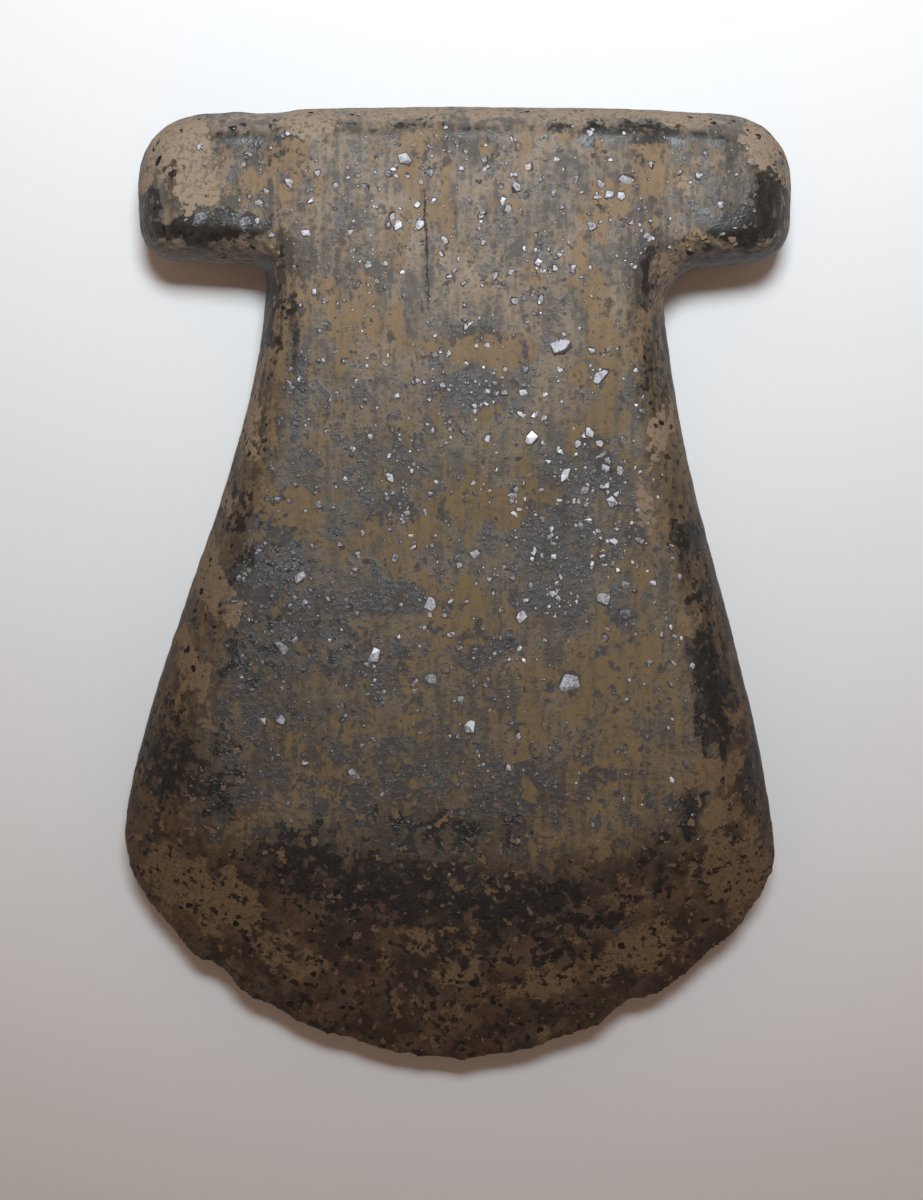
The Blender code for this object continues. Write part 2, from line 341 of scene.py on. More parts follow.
# %% Ochre crust
OCHRE_AREAS = (
    ("head, left", -30.4, 59.5, 6.6, 3.8, 0, 0.35),
    ("head, left spot", -24.3, 63.0, 2.4, 2.8, 0, 0.8),
    ("head, right spot", 28.0, 62.6, 2.4, 2.8, 0, 0.7),
    ("head, middle", -4.0, 58.0, 4.4, 7.3, 0, 0.45),
    ("head, right", 26.8, 60.2, 5.9, 5.3, 0, 0.45),
    ("neck, middle", 19.8, 49.9, 2.7, 8.9, 0, 0.4),
    ("neck, left", -16.7, 38.0, 6.0, 7.4, 0, 0.5),
    ("upper blade, middle", 3.4, 34.5, 8.5, 2.6, 0, 0.9),
    ("upper blade, right", 21.0, 30.1, 3.2, 10.3, 0, 0.6),
    ("centre, left patch", -25.3, 10.7, 4.4, 3.2, 0, 0.95),
    ("centre, left", -8.4, 6.6, 8.8, 3.8, 0, 0.5),
    ("centre", 6.3, 11.7, 9.1, 2.9, 0, 0.85),
    ("centre, low", 1.3, -4.8, 4.4, 4.7, 0, 0.95),
    ("centre, right", 26.8, 1.5, 1.8, 5.9, 0, 0.5),
    ("cluster, foot", 3.9, 25.0, 2.1, 1.2, 0, 0.6),
    ("lower streak, middle", -6.6, -24.2, 1.2, 13.2, 0, 0.5),
    ("lower streak, right", 10.7, -22.8, 1.8, 11.7, 0, 0.75),
    ("lower face, right", 23.9, -16.9, 8.8, 8.8, 0, 0.5),
    ("lower face, far right", 22.7, -26.4, 3.5, 5.9, 0, 0.5),
    ("lower face, left", -18.7, -19.8, 5.9, 7.3, 0, 0.25),
    ("lower spots", -0.3, -43.6, 1.5, 1.2, 0, 0.8),
    ("lower spots, right", 4.8, -44.8, 1.2, 2.3, 20, 0.7),
)
print("ochre places:", len(OCHRE_AREAS))

# %% Bare grey stone
BARE_AREAS = (
    ("left ear, root", -27.8, 62.4, 5.0, 2.9, 0, 0.5),
    ("left ear, lower ridge", -35.0, 56.4, 8.5, 1.4, 0, 0.75),
    ("under the poll", -2.6, 65.6, 11.9, 1.3, 0, 0.4),
    ("head, right of middle", 7.0, 61.7, 2.1, 3.2, 0, 0.45),
    ("head, streak", -17.2, 52.1, 4.4, 5.3, 0, 0.35),
    ("right ear, lobe", 39.8, 58.0, 4.4, 3.8, 10, 0.6),
    ("neck, right shoulder", 27.2, 42.5, 1.8, 10.4, 0, 0.6),
    ("neck, streaks", 13.1, 44.0, 2.1, 8.9, 0, 0.4),
    ("neck, middle", 4.9, 49.9, 3.0, 4.5, 0, 0.45),
    ("upper blade, strip", 0.7, 38.2, 4.4, 1.2, -5, 0.9),
    ("upper blade, cluster", 1.3, 28.9, 4.1, 2.9, 0, 1.0),
    ("upper blade, right cluster", 9.2, 29.4, 1.5, 5.0, 0, 0.65),
    ("left shoulder", -23.1, 30.1, 1.8, 8.8, 0, 0.4),
    ("left of middle", -17.2, 26.4, 4.4, 3.2, 0, 0.4),
    ("left of middle, low", -11.3, 19.1, 5.9, 3.5, 0, 0.6),
    ("left shoulder, low", -23.1, 17.6, 2.3, 3.8, 0, 0.5),
    ("centre strip", -9.6, 11.7, 4.4, 1.8, 0, 0.8),
    ("right of middle", 19.5, 16.9, 5.9, 5.3, 0, 0.65),
    ("right of middle, low", 15.1, 5.9, 7.3, 5.9, 0, 0.75),
    ("right shoulder", 26.1, 9.5, 2.1, 7.3, 0, 0.5),
    ("left field", -28.6, 0.7, 5.6, 6.8, 0, 1.0),
    ("left field, middle", -23.1, -5.9, 6.5, 5.3, 0, 0.75),
    ("middle field", -10.6, -2.2, 7.3, 2.6, 0, 0.85),
    ("middle field, low", -15.7, -11.7, 8.8, 3.5, 0, 0.55),
    ("middle strip", 4.1, -9.5, 4.4, 1.8, 20, 0.8),
    ("right field", 15.1, -2.2, 5.3, 3.2, 0, 0.8),
    ("right field, far", 24.2, -4.0, 2.1, 2.1, 0, 0.6),
    ("left low", -30.4, -15.4, 5.3, 8.8, 0, 0.65),
    ("left lower", -31.9, -30.1, 5.9, 7.3, 0, 0.6),
    ("middle low", -9.9, -31.6, 10.3, 8.8, 0, 0.5),
    ("right low", 6.3, -31.6, 7.3, 7.3, 0, 0.55),
    ("right lower", 16.6, -28.6, 3.2, 4.4, 0, 0.5),
)
print("bare stone places:", len(BARE_AREAS))

# %% Black-brown stain, and painted shade on ridges facing the bit, ear ends, creases, notches and the bit's turn
# Painted shade among these: the ears' lower ridges and outer ends, the crease lines, the notches, the shade
# fields and the band at the bit's turn.
STAIN_AND_SHADE_AREAS = (
    ("left ear, lower ridge", -37.4, 52.4, 9.0, 2.3, 2, 1.0),
    ("left ear, outer end", -46.0, 56.0, 2.0, 5.4, 0, 0.95),
    ("left ear, pit", -42.9, 60.6, 1.2, 1.2, 0, 0.8),
    ("left ear, rim", -36.5, 70.2, 8.0, 1.1, 10, 0.5),
    ("left ear, top line", -30.4, 65.6, 7.3, 1.3, 4, 0.7),
    ("poll, line", -2.6, 67.6, 16.4, 1.0, 0, 0.43),
    ("poll, right line", 28.2, 66.2, 14.0, 1.8, -2, 0.70),
    ("poll, right field", 35.5, 65.8, 5.4, 2.4, 0, 0.62),
    ("left field, shade", -25.0, -4.0, 12.0, 16.0, 0, 0.34),
    ("head, left shade", -27.0, 64.0, 6.0, 2.6, 0, 0.30),
    ("right ear, outer end", 46.4, 57.0, 3.2, 7.0, 0, 1.0),
    ("right ear, lower ridge", 42.3, 52.4, 6.0, 2.3, 0, 1.0),
    ("right ear, shade", 41.0, 57.0, 8.0, 8.0, 0, 0.30),
    ("right notch, upper line", 34.7, 49.9, 6.0, 0.7, 0, 0.6),
    ("right notch, wall", 33.5, 46.0, 4.0, 4.5, 0, 0.45),
    ("right notch, shadow", 41.4, 48.8, 6.0, 0.9, 8, 0.7),
    ("right neck, line", 28.4, 46.2, 0.9, 4.5, 0, 0.9),
    ("right neck", 31.4, 37.3, 1.8, 6.0, 0, 0.7),
    ("right facet, speckle", 29.5, 30.6, 3.0, 5.4, 0, 0.5),
    ("right facet, block", 33.9, 6.7, 2.7, 3.9, 0, 0.75),
    ("right facet, block low", 36.9, 0.0, 2.1, 3.6, -20, 0.6),
    ("right side, dark field", 37.6, -15.6, 2.8, 8.0, 5, 0.88),
    ("right side, dark field low", 43.9, -27.5, 1.5, 6.0, -8, 0.7),
    ("right side, spots", 34.7, -33.5, 2.4, 4.2, 0, 0.65),
    ("right side, spots low", 30.2, -40.9, 4.5, 4.5, 0, 0.6),
    ("left notch, line", -25.8, 48.2, 0.7, 2.4, 0, 0.8),
    ("left neck, line", -28.0, 42.5, 2.0, 7.0, 4, 0.9),
    ("left shoulder, line", -23.7, 36.0, 0.9, 8.8, 0, 0.7),
    ("left shoulder, low line", -31.4, 9.5, 1.0, 8.8, 14, 0.7),
    ("left shoulder, field", -31.9, -9.5, 2.3, 5.9, 10, 0.55),
    ("left side, dark field", -42.8, -26.0, 5.1, 6.9, 14, 0.75),
    ("left side, field", -36.1, -27.5, 5.1, 7.4, 0, 0.5),
    ("bit, band", -8.4, -44.8, 16.1, 5.0, -3, 0.85),
    ("bit, band left", -23.1, -40.4, 8.8, 5.3, 0, 0.7),
    ("bit, band right", 10.7, -47.0, 11.7, 5.0, 6, 0.8),
    ("bit, band low", 6.3, -53.6, 16.1, 3.2, 4, 0.5),
    ("middle low", -1.0, -36.7, 10.3, 3.8, 0, 0.6),
    ("bit, spots left", -31.1, -46.2, 2.1, 2.3, 0, 0.5),
    ("bit, spots", 19.5, -48.4, 5.9, 2.9, 0, 0.6),
)
print("stain places:", len(STAIN_AND_SHADE_AREAS))

# %% Reading a mesh, soft ramps and noise
FADING = 0.65


def read_points(mesh):
    points = np.zeros(len(mesh.vertices) * 3, np.float32)
    mesh.vertices.foreach_get("co", points)
    return points.reshape(-1, 3).astype(float)


def read_normals(mesh):
    normals = np.zeros(len(mesh.vertices) * 3, np.float32)
    mesh.vertices.foreach_get("normal", normals)
    return normals.reshape(-1, 3).astype(float)


def ramp(values, start, width):
    """0 up to the start and 1 a width further on, with soft ends. A width below 0 runs back."""
    share = np.clip((values - start) / width, 0.0, 1.0)
    return share * share * (3.0 - 2.0 * share)


def cloud(places, span, seed=0.0, stretch=1.0):
    """Smooth noise from about -1 to 1 at these places in millimetres."""
    return np.array([noise.noise((x / span + seed, y / span / stretch, z / span)) for x, y, z in places])


def bent(places):
    """The same places, pushed about by noise, so that what is drawn on them gets ragged edges."""
    pushed = places.copy()
    for axis in (0, 1):
        wide = 1.5 * cloud(places, 4.5, 7.0 + 5.0 * axis)
        narrow = 0.8 * cloud(places, 1.7, 31.0 + 5.0 * axis)
        pushed[:, axis] += wide + narrow
    return pushed


def strength_of(areas, places):
    """How strongly a layer's places reach each point. Where two meet, the stronger counts."""
    total = np.zeros(len(places))
    for _, across, along, half_width, half_length, turn, strength in areas:
        cosine, sine = math.cos(math.radians(turn)), math.sin(math.radians(turn))
        dx, dy = places[:, 0] - across, places[:, 1] - along
        u = (dx * cosine + dy * sine) / half_width
        v = (dy * cosine - dx * sine) / half_length
        total = np.maximum(total, strength * np.exp(-FADING * (u * u + v * v) ** 1.5))
    return total


# %% Turn the places into fields that the surface carries
LAYERS = {"earth": EARTH_AREAS, "ochre": OCHRE_AREAS, "bare": BARE_AREAS, "stain_and_shade": STAIN_AND_SHADE_AREAS}
# Below the rim each layer takes a fixed share; the larger stain share there also darkens the lower walls as
# painted shade.
UNSEEN_SHARES = {"earth": 0.36, "ochre": 0.25, "bare": 0.25, "stain_and_shade": 0.34}
# Painted shade: extra darkness on the steep bevel of the bit and on every steep wall.
EDGE_PAINTED_SHADE = 0.45
RIM_PAINTED_SHADE = 0.28

places = read_points(stone.data) / MM
normals = read_normals(stone.data)
upper = ramp(places[:, 2], 5.0, 4.0)
steep = 1.0 - np.abs(normals[:, 2])
at_edge = ramp(places[:, 1], -36.0, -8.0) * ramp(steep, 0.25, 0.5)
on_face = ramp(steep, 0.14, -0.12) * ramp(places[:, 1], -46.0, 10.0)
ragged = bent(places)
fields = {}
for layer, areas in LAYERS.items():
    fields[layer] = strength_of(areas, ragged) * upper + UNSEEN_SHARES[layer] * (1.0 - upper)
# Painted shade: the bit's steep bevel and all steep walls are darkened through the stain and shade field.
fields["stain_and_shade"] = fields["stain_and_shade"] + EDGE_PAINTED_SHADE * at_edge + RIM_PAINTED_SHADE * ramp(steep, 0.62, 0.3)
fields["face"] = on_face


def carry(mesh, name, values):
    held = mesh.attributes.new(name, "FLOAT", "POINT")
    held.data.foreach_set("value", values.astype(np.float32))


for name, values in fields.items():
    carry(stone.data, name, values)
print({name: round(float(values.mean()), 3) for name, values in fields.items()})

# %% [markdown]
# ## Relief
# Hand grinding leaves a slow swell, pecking leaves dimples, and the bit and the sides have
# weathered rougher than the polished face. All of it is pushed along the normals. The pits are
# the holes of lost grains, one or two millimetres wide. The cutting edge is chipped: there the
# points move in and out by a few tenths, and small shell-shaped scars are tried along a curve
# near it. The tries that miss the stone leave nothing.

# %% Swell, dimples and rough flanks
SWELL, DIMPLES = 0.14, 0.07
COARSE_ROUGHNESS, FINE_ROUGHNESS = 0.075, 0.06
GRINDING, EARTH_COAT = 0.03, 0.05
FACE_POLISH = 0.65

relief = SWELL * cloud(places, 15.0, 3.0) + DIMPLES * cloud(places, 6.0, 11.0)
rough = COARSE_ROUGHNESS * cloud(places, 2.6, 17.0) + FINE_ROUGHNESS * cloud(places, 1.25, 23.0)
relief += (1.0 - FACE_POLISH * on_face) * rough
relief += on_face * GRINDING * cloud(places, 1.6, 41.0, stretch=5.0)
relief += EARTH_COAT * fields["earth"] * upper
print("swell and roughness in mm:", round(float(relief.min()), 2), "to", round(float(relief.max()), 2))

# %% Pits: the larger ones by place, the rest scattered over the bit and the sides
PLACED_PITS = (
    (-41.3, -41.0, 0.9), (-39.3, -45.6, 0.8), (-39.9, -50.4, 0.7), (-34.1, -51.2, 0.8),
    (-22.4, -60.4, 1.1), (-18.7, -61.9, 0.9), (-10.9, -59.6, 1.1), (-42.9, 60.6, 0.9),
    (15.0, -63.0, 0.7), (30.5, -52.0, 0.9), (36.0, -46.5, 0.8), (5.0, -66.5, 0.8),
    (-3.0, -57.0, 0.7), (24.0, -58.5, 0.8), (41.5, -36.0, 0.7),
)
PLACED_DEPTH = 0.45
SCATTERED_PITS = 260
SCATTERED_RADII = (0.55, 0.95)
SCATTERED_DEPTHS = (0.15, 0.4)
ROUGH_BELOW = 0.4
CHANCE_SEED = 20
ABOVE_STONE = 60.0
net = kdtree.KDTree(len(places))
for index, place in enumerate(places):
    net.insert(place, index)
net.balance()


def dent(place, radius, depth):
    """Presses a round-bottomed pit into the relief."""
    for _, index, distance in net.find_range(place, radius):
        relief[index] -= depth * (1.0 - (distance / radius) ** 2) ** 1.3


chance = np.random.default_rng(CHANCE_SEED)
surface = BVHTree.FromPolygons(
    [Vector(place) for place in places], [tuple(face.vertices) for face in stone.data.polygons]
)


def on_top(across, along):
    """Where a plumb line from above meets the stone, in millimetres."""
    hit = surface.ray_cast(Vector((across, along, ABOVE_STONE)), Vector((0.0, 0.0, -1.0)))
    return hit[0]


for across, along, radius in PLACED_PITS:
    dent(on_top(across, along), radius, PLACED_DEPTH * radius)
rough_points = np.flatnonzero(on_face < ROUGH_BELOW)
for index in chance.choice(rough_points, SCATTERED_PITS, replace=False):
    radius = chance.uniform(*SCATTERED_RADII)
    dent(places[index], radius, chance.uniform(*SCATTERED_DEPTHS) * radius)
print("pits:", len(PLACED_PITS) + SCATTERED_PITS)

# %% Chips of the cutting edge
SCAR_TRIES = 17
SCAR_SWEEP = 1.25
SCAR_WANDER = 1.2
SCAR_RADII = (1.4, 2.6)
SCAR_DEPTHS = (0.10, 0.26)
EDGE_HALF_WIDTH, EDGE_SHOULDER, EDGE_REACH = 47.0, -38.0, 32.0
EDGE_WEAR = 0.08

coarse_chips = 0.30 * cloud(places * (1.0, 1.0, 0.35), 2.6, 51.0)
fine_chips = 0.22 * cloud(places * (1.0, 1.0, 0.5), 1.1, 57.0)
relief += at_edge * (coarse_chips + fine_chips - EDGE_WEAR)
scars = 0
for angle in np.linspace(-SCAR_SWEEP, SCAR_SWEEP, SCAR_TRIES):
    across = EDGE_HALF_WIDTH * math.sin(angle) + chance.uniform(-SCAR_WANDER, SCAR_WANDER)
    along = EDGE_SHOULDER - EDGE_REACH * math.cos(angle) ** 0.8 + chance.uniform(0.0, 2.0)
    scar = on_top(across, along)
    if scar is not None:
        dent(scar, chance.uniform(*SCAR_RADII), chance.uniform(*SCAR_DEPTHS))
        scars += 1
print("scars on the edge:", scars)

# %% Hairline crack down the head
CRACK = ((-4.9, 57.6), (-4.6, 55.0), (-4.3, 51.0), (-4.1, 48.0), (-4.3, 45.5), (-3.9, 42.5), (-3.7, 40.5))
CRACK_DEPTH = 0.10
CRACK_HALF_WIDTH = 0.35
CRACK_REACH = 2.5

crack_line = [Vector(on_top(*spot)) for spot in CRACK]
for start, end in zip(crack_line, crack_line[1:]):
    for _, index, _ in net.find_range((start + end) / 2.0, CRACK_REACH):
        place = Vector(places[index])
        share = max(0.0, min(1.0, (place - start).dot(end - start) / (end - start).length_squared))
        away = (place - start.lerp(end, share)).length
        relief[index] -= CRACK_DEPTH * math.exp(-((away / CRACK_HALF_WIDTH) ** 2))
print("crack runs in mm:", round((crack_line[-1] - crack_line[0]).length, 1))

# %% Push the points out and keep the stone on its bed
BED_RELIEF = 0.3
resting = ramp(places[:, 2], 2.2, -1.4)
relief = relief * (1.0 - resting) + np.minimum(relief, 0.0) * resting * BED_RELIEF
places += normals * relief[:, None]
places[:, 2] = np.maximum(places[:, 2], 0.0)
stone.data.vertices.foreach_set("co", (places * MM).astype(np.float32).ravel())
stone.data.update()
stone.data.shade_smooth()
print("relief in mm:", round(float(relief.min()), 2), "to", round(float(relief.max()), 2))

# %% [markdown]
# ## The stone's finish
# The skin is a stack of layers. Brown film covers the stone: streaked along the axe by the
# grinding, paler towards the poll and nearly black on the bit, partly as painted light and shade.
# Ochre crust sits on it, matt. Where the film has worn away the bare stone shows, dark grey, a
# mass of small round granules, darker in the gaps and lighter on top partly as painted shade and
# light, with bright flecks that are partly painted glints, and a thin dark dust dulls the face.
# Black-brown stain and painted shade keep to the ridges, the necks and the turn of the bit, with
# a soft painted shade beside them. Pale earth lies over these, and the rough sides and the bit
# have blots and dots, which are lost grains and grime. Each layer's edge is the field of its
# places plus noise, cut by a soft step, so it is irregular at the scale of the grains. The
# lengths in the steps along the axe are millimetres from the stone's centre.

# %% Shared noises, from patches of several millimetres down to grains of a third of one
stone_finish, bench, shader = new_material("weathered_stone")
mm = bench.millimetres()
along_axe = bench.stretched(mm, (1.0, 0.72, 1.0))
streaky = bench.stretched(mm, (1.0, 0.14, 1.0))
face = bench.field("face")
off_face = 1.0 - face
broad = bench.grain(mm, 0.10, 3.0)
patchy = bench.grain(along_axe, 0.32, 3.0, 0.55)
patchy_two = bench.grain(along_axe, 0.28, 3.0, 0.55, 40.0)
patchy_three = bench.grain(mm, 0.45, 3.0, 0.55, 80.0)
islands = bench.grain(mm, 0.60, 2.0, 0.50, 55.0)
clumps = bench.grain(mm, 0.95, 2.0, 0.55, 70.0)
ragged_edge = bench.grain(mm, 1.9, 2.0, 0.50, 15.0)
fine = bench.grain(mm, 3.6, 1.0, 0.50, 25.0)
streak = bench.grain(streaky, 0.9, 2.0, 0.55, 5.0)
rows_down = bench.node("ShaderNodeSeparateXYZ", {}, {"Vector": mm}, output="Y")
towards_bit = bench.step(rows_down, 30.0, -45.0)
towards_head = bench.step(rows_down, 15.0, 52.0)
low_face = face * bench.step(rows_down, -2.0, -20.0)
print("noises and shares along the axe:", len(bench.tree.nodes), "nodes")

# %% Granules: the stone is a mass of small round crystals, each with a number of its own
GRANULES_PER_MM = 1.25
GRANULE_BEND = (1.3, 1.3, 1.3)
bends = bench.node("ShaderNodeTexNoise", {}, {"Vector": mm, "Scale": 1.4, "Detail": 2.0}, output="Color")
bend_sockets = {0: bends, 1: GRANULE_BEND, 2: mm}
bent_mm = bench.node("ShaderNodeVectorMath", {"operation": "MULTIPLY_ADD"}, bend_sockets)
granule_gap = bench.cells(bent_mm, GRANULES_PER_MM)
granule_colour = bench.cells(bent_mm, GRANULES_PER_MM, "Color")
granule_pick = bench.node("ShaderNodeSeparateColor", {}, {"Color": granule_colour}, output="Red")
granule_top = bench.step(granule_gap, 0.68, 0.10)
print("granules:", GRANULES_PER_MM, "to a millimetre")

# %% Where ochre crust and bare stone lie
ochre = bench.field("ochre") + 0.10 * face + patchy_two * 2.4 + clumps * 0.8 + streak * 1.0 * face
ochre = bench.step(ochre, 0.26, 0.50)
bare = bench.field("bare") * 0.72 + 0.16 * face + patchy * 2.5 + clumps * 0.9
bare = bare + islands * (0.6 + low_face * 1.6) + ragged_edge * 0.5 + streak * 0.8 * face
bare = bench.step(bare, 0.31, 0.63)
print("ochre and bare stone:", len(bench.tree.nodes), "nodes")

# %% Where stain and painted shade, the soft painted shade and pale earth lie
# This field is real stain together with painted shade on ridges, creases, notches and the turn of the bit.
stain_and_shade = bench.field("stain_and_shade") - 0.12 * off_face + patchy_three * 1.8
stain_and_shade = stain_and_shade + islands * 1.2 + clumps * 0.9 + ragged_edge * 0.5
stain_and_shade = bench.step(stain_and_shade, 0.38, 0.60)
# A soft painted shade over the ridges, creases, notches and lower face, grown from the stain field.
painted_shade = bench.step(bench.field("stain_and_shade") + low_face * 0.16 + clumps * 0.6, 0.05, 0.85)
painted_shade = painted_shade * (0.25 + face * 0.30)
earth = bench.field("earth") + patchy_two * 1.5 + islands * 0.8 + clumps * 0.8 + ragged_edge * 0.4
earth = bench.step(earth, 0.40, 0.54)
scraps = bench.step(islands - patchy * 0.4 + ragged_edge * 0.25, 0.13, 0.17)
earth = earth.maths("MAXIMUM", bench.step(rows_down, -8.0, -26.0) * scraps)
print("stain and earth:", len(bench.tree.nodes), "nodes")

# %% Granules that show one by one through the film
lone_granules = granule_pick + clumps * 0.8 + bench.field("bare") * 0.25 + low_face * 0.14
lone_granules = bench.step(lone_granules, 0.82, 0.90) * face
lone_granules = lone_granules * (1.0 - ochre * 0.6) * (1.0 - earth) * (1.0 - towards_head * 0.4)
print("lone granules:", len(bench.tree.nodes), "nodes")

# %% Blots and dots of the rough sides and the bit
blots = bench.grain(mm, 0.55, 2.0, 0.5, 60.0) * 1.7 + clumps * 1.2 + ragged_edge * 0.3
blots = blots + bench.field("stain_and_shade") * 0.40 + broad * 0.6
blots = blots + bench.step(rows_down, -46.0, -68.0) * 0.08 - bench.step(rows_down, 40.0, 60.0) * 0.12
speckle = bench.step(blots, 0.26, 0.36) * off_face
pock = bench.cells(mm, 0.62) - clumps * 0.8 - islands * 0.5
pock = pock - bench.step(rows_down, -34.0, -66.0) * 0.07
dots = bench.step(pock, 0.32, 0.22) * bench.step(patchy_three, -0.03, 0.09) * off_face
print("blots and dots:", len(bench.tree.nodes), "nodes")

# %% Colours of the layers
BROWN_DARK = colour(0.062, 0.047, 0.032)
BROWN_LIGHT = colour(0.168, 0.116, 0.060)
HEAD_BROWN = colour(0.272, 0.194, 0.122)
BIT_DARK = colour(0.034, 0.022, 0.0155)
BIT_LIGHT = colour(0.104, 0.064, 0.037)
OCHRE = colour(0.190, 0.130, 0.060)
HEAD_OCHRE = colour(0.275, 0.186, 0.106)
POLL_DARK = colour(0.130, 0.115, 0.100)
POLL_LIGHT = colour(0.300, 0.238, 0.176)
GREY_DARK = colour(0.042, 0.040, 0.040)
GREY_LIGHT = colour(0.098, 0.096, 0.102)
EARTH_HEAD = colour(0.340, 0.258, 0.187)
EARTH_BIT = colour(0.184, 0.121, 0.064)
STAIN_COLOUR = colour(0.0115, 0.0115, 0.0115)
STAIN_LIGHT = colour(0.033, 0.033, 0.033)
# Colour of the soft painted shade.
PAINTED_SHADE = colour(0.040, 0.032, 0.026)
DOT_COLOUR = colour(0.009, 0.008, 0.007)
FLECK_GLINT_COLOUR = colour(0.30, 0.31, 0.34)

# %% Each layer's own shades
mottling = streak * 1.0 + patchy * 0.9 + clumps * 1.0 + ragged_edge * 0.5 + broad * 0.8
# Lighter towards the poll and darker towards the bit: part of this is painted light and shade, following the
# lamp over the poll.
film = bench.blend(towards_head, BROWN_LIGHT, HEAD_BROWN)
brown = bench.blend(bench.step(mottling, -0.28, 0.22), BROWN_DARK, film)
bit_brown = bench.blend(bench.step(patchy * 1.3 + clumps * 0.5 + broad, -0.24, 0.20), BIT_DARK, BIT_LIGHT)
# The poll's light browns are partly painted light on the facets that face the lamp.
poll_brown = bench.blend(bench.step(mottling, -0.25, 0.25), POLL_DARK, POLL_LIGHT)
brown = bench.blend(bench.step(rows_down, 40.0, 60.0) * off_face, brown, poll_brown)
brown = bench.blend(towards_bit * off_face, brown, bit_brown)
# Colour of the stain layer, which is real stain and painted shade together.
stain_and_shade_colour = bench.blend(granule_top * granule_pick + ragged_edge * 0.8, STAIN_COLOUR, STAIN_LIGHT)
# Darker in the gaps between granules and lighter on their tops: partly painted shade and light on the
# granules' relief.
grey = bench.blend(granule_top * (0.25 + granule_pick * 0.75), GREY_DARK, GREY_LIGHT)
# The earth and the crust also lighten towards the poll, partly as painted light.
soil = bench.blend(bench.step(rows_down, 55.0, -28.0), EARTH_HEAD, EARTH_BIT)
soil = bench.blend(bench.step(ragged_edge + clumps * 0.8, 0.04, -0.16) * 0.45, soil, BROWN_DARK)
crust = bench.blend(towards_head, OCHRE, HEAD_OCHRE)
crust = bench.blend(bench.step(ragged_edge + streak * 0.8, 0.05, -0.35) * 0.5, crust, BROWN_DARK)
print("shades:", len(bench.tree.nodes), "nodes")

# %% The layers, one over the other
layers = bench.blend(ochre * 0.88, brown, crust)
layers = bench.blend(bare * (0.90 - towards_head * 0.14), layers, grey)
dust = bench.step(clumps + ragged_edge * 0.6 - patchy_two * 0.5, -0.04, 0.24) * face
layers = bench.blend(dust * 0.24, layers, GREY_DARK)
# Each lone granule gets a darker edge and a lighter middle, partly painted shade and light.
layers = bench.blend(lone_granules * bench.step(granule_gap, 0.56, 0.30) * 0.6, layers, GREY_DARK)
layers = bench.blend(lone_granules * bench.step(granule_gap, 0.30, 0.10) * 0.8, layers, GREY_LIGHT)
layers = bench.blend(painted_shade, layers, PAINTED_SHADE)
layers = bench.blend(stain_and_shade * 0.86, layers, stain_and_shade_colour)
layers = bench.blend(earth * 0.94, layers, soil)
blot_share = 0.94 - towards_head * 0.20 - earth * (1.0 - towards_bit)
layers = bench.blend(speckle * blot_share, layers, STAIN_COLOUR)
grime = bench.step(ragged_edge * 0.7 + clumps * 0.9, 0.0, 0.16) * off_face
layers = bench.blend(grime * (0.15 + towards_bit * 0.40), layers, BIT_DARK)
layers = bench.blend(dots, layers, DOT_COLOUR)
print("layers:", len(bench.tree.nodes), "nodes")

# %% Bright flecks in the bare stone, partly painted glints, and the crack's dark line
CRACK_ACROSS, CRACK_MIDDLE, CRACK_LEAN = -4.45, 49.0, -0.035

# The flecks are partly pale crystals and partly painted glints on the granules.
flecks_and_glints = bench.step(granule_gap, 0.30, 0.14) * bench.step(granule_pick, 0.66, 0.84) * face * bare
layers = bench.blend(flecks_and_glints * 0.8, layers, FLECK_GLINT_COLOUR)

across_mm = bench.node("ShaderNodeSeparateXYZ", {}, {"Vector": mm}, output="X")
wobble = bench.grain(streaky, 3.0, 2.0, 0.5, 90.0) * 1.6 + bench.grain(mm, 1.2, 2.0, 0.5, 95.0) * 0.8
crack_at = across_mm - CRACK_ACROSS - (rows_down - CRACK_MIDDLE) * CRACK_LEAN + wobble * 0.7
crack_ends = bench.step(rows_down, 39.5, 42.5) * bench.step(rows_down, 59.0, 55.5)
crack = bench.step(crack_at.size(), 0.17, 0.06) * crack_ends
layers = bench.blend(crack * bench.step(wobble, -0.4, -0.15), layers, DOT_COLOUR)
print("crack and flecks:", len(bench.tree.nodes), "nodes")

# %% Gloss and small relief
BUMP_STRENGTH = 0.62
BUMP_DISTANCE = 0.35 * MM
worn = (bare + stain_and_shade * 0.25) * face
roughness = 0.50 - 0.04 * worn + 0.28 * earth - 0.12 * stain_and_shade + 0.20 * ochre
roughness = roughness + 0.14 * off_face + ragged_edge * 0.2
heights = (
    clumps * (0.42 - face * 0.20 - towards_head * 0.10)
    + ragged_edge * (0.32 - face * 0.16 - towards_head * 0.12)
    + fine * 0.08 * face
    + granule_top * (worn * 0.18 + lone_granules * 0.16)
    + earth * 0.16
    - stain_and_shade * 0.05
    - speckle * 0.10
    - dots * 0.35
    - crack * 0.5
)
bump_sockets = {"Strength": BUMP_STRENGTH, "Distance": BUMP_DISTANCE, "Height": heights}
bump = bench.node("ShaderNodeBump", {}, bump_sockets)
bench.fill(shader["Base Color"], layers)
bench.fill(shader["Roughness"], roughness)
bench.fill(shader["Normal"], bump)
shader["Specular IOR Level"].default_value = 0.36
stone.data.materials.append(stone_finish)
print("stone finish:", len(bench.tree.nodes), "nodes")

# %% [markdown]
# ## Mineral grains
# Glassy grains, harder than the rest, stand out of the polished face like gravel in worn
# concrete. The larger ones are placed one by one. About 1,700 small ones follow the bare stone,
# so Geometry Nodes scatter them: points on the faces where a carried field allows, a squashed
# twenty-sided ball on each, its corners pushed at random so that every grain is facetted in its
# own way. Each grain has a darker ring round it, so the same shape comes once more, wider and
# flatter, with the tone that the material reads as that ring. Both kinds share the nodes that do this.

